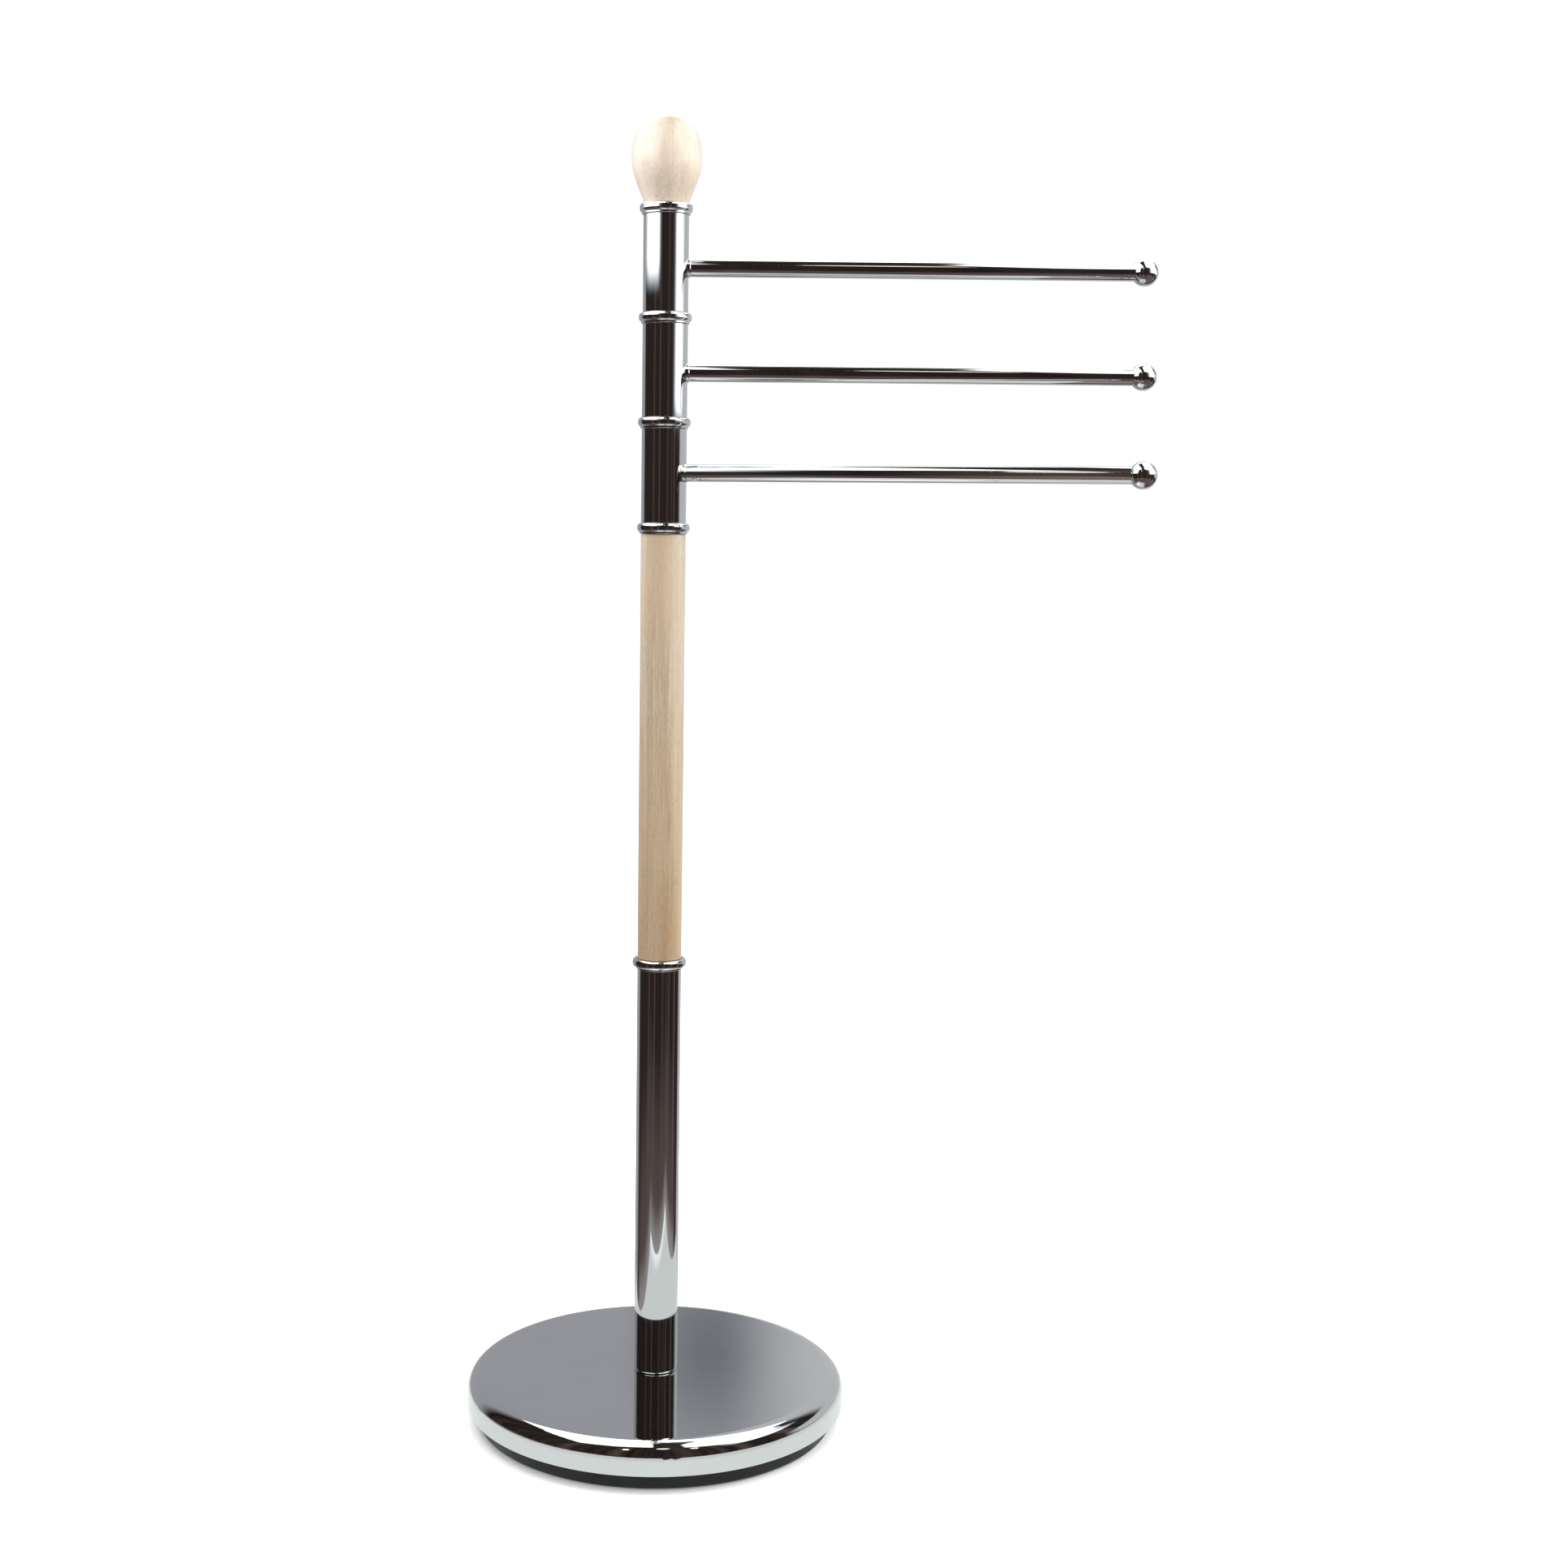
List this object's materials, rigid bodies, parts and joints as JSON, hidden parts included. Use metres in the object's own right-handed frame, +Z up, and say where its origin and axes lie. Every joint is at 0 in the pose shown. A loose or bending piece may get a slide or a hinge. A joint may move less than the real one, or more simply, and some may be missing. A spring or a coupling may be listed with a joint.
{
  "type": "towel stand",
  "caption": "Free-standing towel and garment stand: round weighted chrome base, post of chromed tube and pale wood, stacked swivel arms with ball tips, wooden knob.",
  "frame": {"origin": "middle of the flat underside of the base pad, on the floor", "axes": "+Z up the post, +X along the arms as they point in the stored pose, -Y towards the side the stored view shows; metres"},
  "size_m": [0.4224, 0.243, 0.8242],
  "materials": {
    "chrome": "mirror-polished chrome plating on steel",
    "pale_wood": "pale close-grained hardwood under clear satin lacquer",
    "black_plastic": "moulded black plastic, slightly glossy",
    "pad_foam": "black foam rubber sheet",
    "cast_iron": "grey casting, painted",
    "zinc_steel": "zinc-plated steel",
    "brass": "turned brass",
    "nylon": "moulded natural nylon"
  },
  "bodies": {
    "stand": {"base_pad": "pad_foam", "base_tray": "black_plastic", "tray_screws": "zinc_steel", "base_weight": "cast_iron", "base_cover": "chrome", "base_bolt": "zinc_steel", "base_washer": "zinc_steel", "foot_plug": "zinc_steel", "lower_tube": "chrome", "tube_top_plug": "zinc_steel", "joint_stud": "zinc_steel", "lower_collar": "chrome", "wood_post": "pale_wood", "wood_lower_insert": "brass", "wood_upper_insert": "brass", "post_collar": "chrome", "lower_arm_collar": "chrome", "upper_arm_collar": "chrome", "top_collar": "chrome", "spindle": "zinc_steel", "knob": "pale_wood", "knob_insert": "brass"},
    "lower_arm": {"lower_arm_sleeve": "chrome", "lower_arm_lower_bush": "nylon", "lower_arm_upper_bush": "nylon", "lower_arm_ferrule": "chrome", "lower_arm_rod": "chrome", "lower_arm_ball_tip": "chrome", "lower_arm_saddle_washer": "zinc_steel", "lower_arm_fixing_screw": "zinc_steel"},
    "middle_arm": {"middle_arm_sleeve": "chrome", "middle_arm_lower_bush": "nylon", "middle_arm_upper_bush": "nylon", "middle_arm_ferrule": "chrome", "middle_arm_rod": "chrome", "middle_arm_ball_tip": "chrome", "middle_arm_saddle_washer": "zinc_steel", "middle_arm_fixing_screw": "zinc_steel"},
    "upper_arm": {"upper_arm_sleeve": "chrome", "upper_arm_lower_bush": "nylon", "upper_arm_upper_bush": "nylon", "upper_arm_ferrule": "chrome", "upper_arm_rod": "chrome", "upper_arm_ball_tip": "chrome", "upper_arm_saddle_washer": "zinc_steel", "upper_arm_fixing_screw": "zinc_steel"}
  },
  "joints": [
    {"name": "lower_arm_swivel", "type": "hinge", "parent": "stand", "child": "lower_arm", "pos_m": [0, 0, 0.60865], "axis": [0, 0, 1], "continuous": true},
    {"name": "middle_arm_swivel", "type": "hinge", "parent": "stand", "child": "middle_arm", "pos_m": [0, 0, 0.6698], "axis": [0, 0, 1], "continuous": true},
    {"name": "upper_arm_swivel", "type": "hinge", "parent": "stand", "child": "upper_arm", "pos_m": [0, 0, 0.7332], "axis": [0, 0, 1], "continuous": true}
  ]
}
